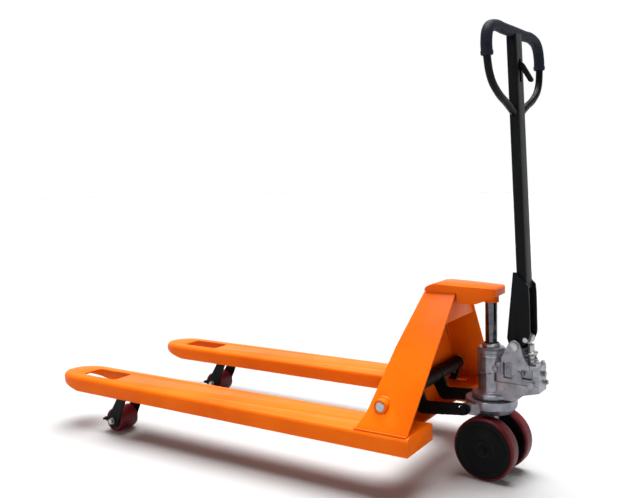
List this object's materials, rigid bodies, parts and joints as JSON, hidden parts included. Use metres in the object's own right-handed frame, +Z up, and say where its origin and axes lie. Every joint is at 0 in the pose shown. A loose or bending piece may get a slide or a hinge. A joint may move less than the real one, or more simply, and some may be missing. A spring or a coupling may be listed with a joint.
{
  "type": "hand pallet truck",
  "caption": "Hand pallet truck with two welded forks, a hydraulic hand pump, steering wheels, load rollers on swinging brackets and a loop handle with a release lever.",
  "frame": {"origin": "on the floor, under the middle of the whole truck, raised as it stands", "axes": "+Z up, +X from the fork tips towards the operator, +Y towards the truck's right-hand fork"},
  "size_m": [1.6536, 0.685, 1.2619],
  "materials": {
    "orange_paint": "glossy powder-coated orange steel",
    "black_paint": "satin black painted steel",
    "black_iron": "satin black cast and forged iron",
    "casting": "silver-painted cast housing",
    "bright_steel": "zinc plated and turned steel",
    "chrome_rod": "ground hard-chromed rod",
    "red_polyurethane": "dark red cast polyurethane",
    "grip_rubber": "soft dark moulded grip rubber"
  },
  "bodies": {
    "base": {"thrust_plate": "casting", "thrust_pin": "black_iron", "lower_race": "bright_steel"},
    "fork_frame": {"fork_left": "orange_paint", "fork_right": "orange_paint", "side_plate_left": "orange_paint", "side_plate_right": "orange_paint", "front_bulkhead": "orange_paint", "rear_apron": "orange_paint", "head_cover": "orange_paint", "ram_socket": "orange_paint", "piston_rod": "chrome_rod", "rocker_boss_left": "orange_paint", "rocker_boss_right": "orange_paint", "bracket_pivot_pin_left": "bright_steel", "bracket_pivot_pin_right": "bright_steel"},
    "rocker": {"rocker_arm": "black_iron", "rocker_shaft": "bright_steel", "rocker_rod_pin_left": "bright_steel", "rocker_rod_pin_right": "bright_steel"},
    "push_rod_left": {"push_rod_left": "black_iron"},
    "push_rod_right": {"push_rod_right": "black_iron"},
    "roller_bracket_left": {"wheel_bracket_left": "black_iron", "bracket_rod_pin_left": "bright_steel", "roller_axle_left": "bright_steel"},
    "roller_bracket_right": {"wheel_bracket_right": "black_iron", "bracket_rod_pin_right": "bright_steel", "roller_axle_right": "bright_steel"},
    "load_roller_left": {"load_roller_left": "red_polyurethane", "roller_bush_left": "bright_steel"},
    "load_roller_right": {"load_roller_right": "red_polyurethane", "roller_bush_right": "bright_steel"},
    "steering": {"pump_body": "casting", "cylinder_cap": "casting", "gland_nut": "bright_steel", "dust_seal": "grip_rubber", "thrust_rollers": "bright_steel", "upper_race": "bright_steel", "plunger_spring": "bright_steel", "handle_pivot_pin": "bright_steel", "steer_axle": "bright_steel"},
    "steer_wheel_left": {"steer_hub_left": "black_paint", "steer_tyre_left": "red_polyurethane", "steer_bearing_left": "bright_steel"},
    "steer_wheel_right": {"steer_hub_right": "black_paint", "steer_tyre_right": "red_polyurethane", "steer_bearing_right": "bright_steel"},
    "plunger": {"plunger": "bright_steel", "plunger_cap": "bright_steel"},
    "valve_arm": {"valve_arm": "bright_steel"},
    "handle": {"handle_base": "black_paint", "handle_column": "black_paint", "handle_loop": "black_paint", "handle_grip": "grip_rubber", "handle_roller_pin": "bright_steel", "lever_pin": "bright_steel"},
    "handle_roller": {"handle_roller": "bright_steel"},
    "release_lever": {"release_lever": "black_paint"},
    "release_rod": {"release_rod": "bright_steel"}
  },
  "joints": [
    {"name": "lift", "type": "slide", "parent": "base", "child": "fork_frame", "axis": [0, 0, 1], "range_m": [-0.1, 0]},
    {"name": "rocker", "type": "hinge", "parent": "fork_frame", "child": "rocker", "pos_m": [0.4703, 0, 0.244], "axis": [0, 1, 0], "range_deg": [-36.7, 0]},
    {"name": "push_rod_left", "type": "slide", "parent": "fork_frame", "child": "push_rod_left", "axis": [1, 0, 0], "range_m": [0, 0.0212]},
    {"name": "bracket_left", "type": "hinge", "parent": "fork_frame", "child": "roller_bracket_left", "pos_m": [-0.50821, -0.2625, 0.15], "axis": [0, 1, 0], "range_deg": [0, 56.7]},
    {"name": "load_roller_left", "type": "hinge", "parent": "roller_bracket_left", "child": "load_roller_left", "pos_m": [-0.56871, -0.2625, 0.04], "axis": [0, 1, 0], "continuous": true},
    {"name": "push_rod_right", "type": "slide", "parent": "fork_frame", "child": "push_rod_right", "axis": [1, 0, 0], "range_m": [0, 0.0212]},
    {"name": "bracket_right", "type": "hinge", "parent": "fork_frame", "child": "roller_bracket_right", "pos_m": [-0.50821, 0.2625, 0.15], "axis": [0, 1, 0], "range_deg": [0, 56.7]},
    {"name": "load_roller_right", "type": "hinge", "parent": "roller_bracket_right", "child": "load_roller_right", "pos_m": [-0.56871, 0.2625, 0.04], "axis": [0, 1, 0], "continuous": true},
    {"name": "steering", "type": "hinge", "parent": "base", "child": "steering", "pos_m": [0.67529, 0, 0], "axis": [0, 0, 1], "range_deg": [-86.5, 93.5]},
    {"name": "steer_wheel_left", "type": "hinge", "parent": "steering", "child": "steer_wheel_left", "pos_m": [0.67699, -0.05421, 0.09], "axis": [0.061, 0.9981, 0], "continuous": true},
    {"name": "steer_wheel_right", "type": "hinge", "parent": "steering", "child": "steer_wheel_right", "pos_m": [0.68358, 0.05359, 0.09], "axis": [0.061, 0.9981, 0], "continuous": true},
    {"name": "handle", "type": "hinge", "parent": "steering", "child": "handle", "pos_m": [0.75814, -0.00507, 0.387], "axis": [0.061, 0.9981, 0], "range_deg": [0, 75], "stiffness_Nm_per_rad": 30, "springref_deg": -17.19},
    {"name": "plunger", "type": "slide", "parent": "steering", "child": "plunger", "axis": [0, 0, -1], "range_m": [0, 0.0425], "stiffness_N_per_m": 500, "springref_m": -0.01, "deforming": ["plunger_spring"]},
    {"name": "handle_roller", "type": "hinge", "parent": "handle", "child": "handle_roller", "pos_m": [0.78609, -0.00678, 0.4063], "axis": [0.061, 0.9981, 0], "continuous": true},
    {"name": "release_lever", "type": "hinge", "parent": "handle", "child": "release_lever", "pos_m": [0.75034, -0.00459, 1.15963], "axis": [0.061, 0.9981, 0], "range_deg": [-14, 14], "stiffness_Nm_per_rad": 2},
    {"name": "release_rod", "type": "slide", "parent": "handle", "child": "release_rod", "axis": [-0.0442, 0.0027, 0.999], "range_m": [-0.003, 0.003]},
    {"name": "valve_arm", "type": "hinge", "parent": "steering", "child": "valve_arm", "pos_m": [0.73718, -0.00379, 0.312], "axis": [0.061, 0.9981, 0], "range_deg": [-9, 9], "stiffness_Nm_per_rad": 0.5}
  ],
  "couplings": [
    {"joint": "rocker", "follows": "lift", "rad_per_m": 6.3879},
    {"joint": "push_rod_left", "follows": "lift", "ratio": -0.2086},
    {"joint": "bracket_left", "follows": "lift", "rad_per_m": -9.8786},
    {"joint": "push_rod_right", "follows": "lift", "ratio": -0.2086},
    {"joint": "bracket_right", "follows": "lift", "rad_per_m": -9.8786},
    {"joint": "plunger", "follows": "handle", "m_per_rad": 0.032391},
    {"joint": "release_rod", "follows": "release_lever", "m_per_rad": 0.011},
    {"joint": "valve_arm", "follows": "release_lever", "ratio": 0.6}
  ]
}
